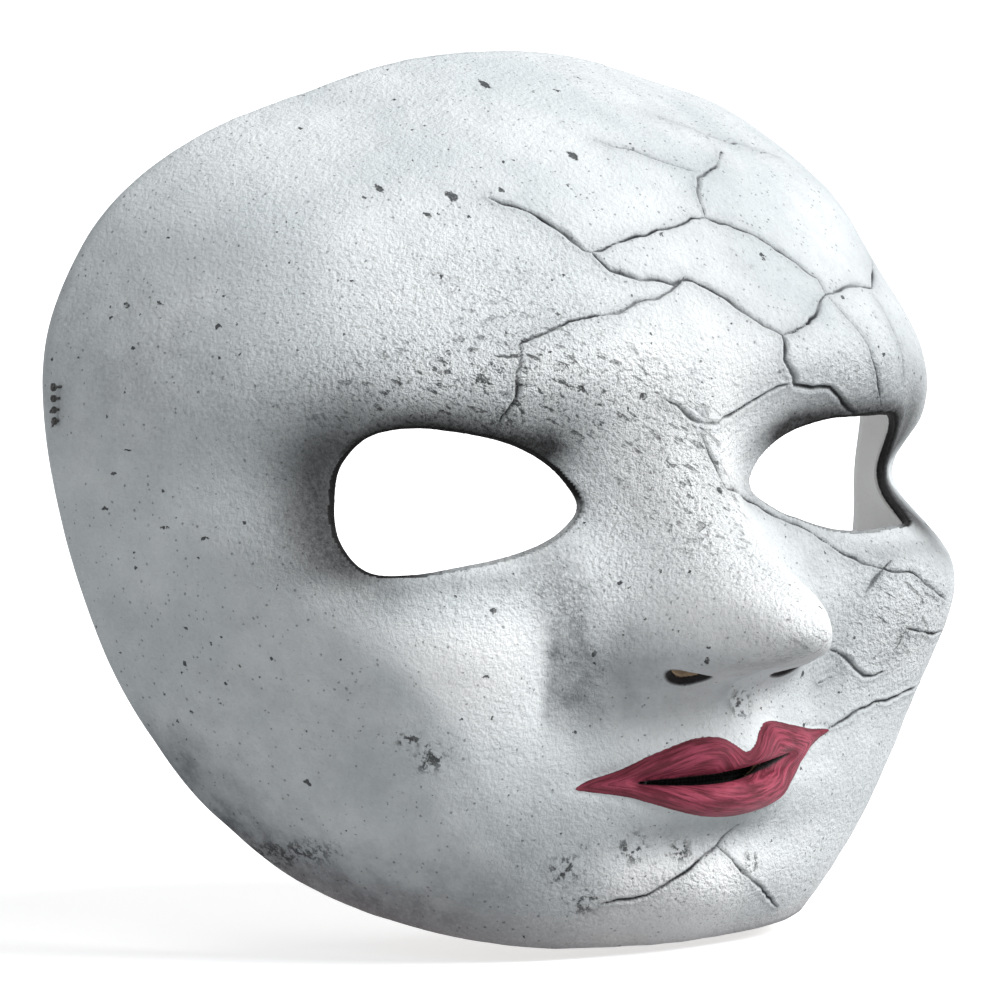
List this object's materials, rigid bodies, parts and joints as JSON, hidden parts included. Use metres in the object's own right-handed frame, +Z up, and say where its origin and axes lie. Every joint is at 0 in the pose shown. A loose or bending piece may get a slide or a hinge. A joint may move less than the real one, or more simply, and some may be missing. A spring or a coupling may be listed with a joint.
{
  "type": "full-face masquerade mask",
  "caption": "Full-face doll mask with a cracked chalky finish, open eyes and dark red lips, held on by an elastic strap sewn inside the temples.",
  "frame": {"origin": "on the middle plane, level with the inner eye corners, in the plane of the rim at the temples, where the wearer's temples are", "axes": "+X towards the wearer's left, +Y backwards towards the wearer's head, +Z up; the face looks along -Y"},
  "size_m": [0.2396, 0.2355, 0.207],
  "materials": {
    "latex": "matt chalky paint over cast latex",
    "foam": "matt foam rubber",
    "gauze": "matt woven gauze",
    "patch_cloth": "matt woven cotton",
    "elastic": "matt woven elastic",
    "thread": "waxed thread"
  },
  "bodies": {
    "mask": {"face_shell": "latex", "forehead_pad": "foam", "chin_pad": "foam", "cheek_pad_left": "foam", "cheek_pad_right": "foam", "mouth_gauze": "gauze", "temple_patch_left": "patch_cloth", "temple_patch_right": "patch_cloth", "strap_end_left": "elastic", "strap_end_right": "elastic", "anchor_stitches_left": "thread", "anchor_stitches_right": "thread"},
    "strap": {"strap_band": "elastic"}
  },
  "joints": [
    {"name": "strap_swing", "type": "hinge", "parent": "mask", "child": "strap", "pos_m": [0, 0.0032, 0.022], "axis": [1, 0, 0], "range_deg": [-80, 75]}
  ]
}
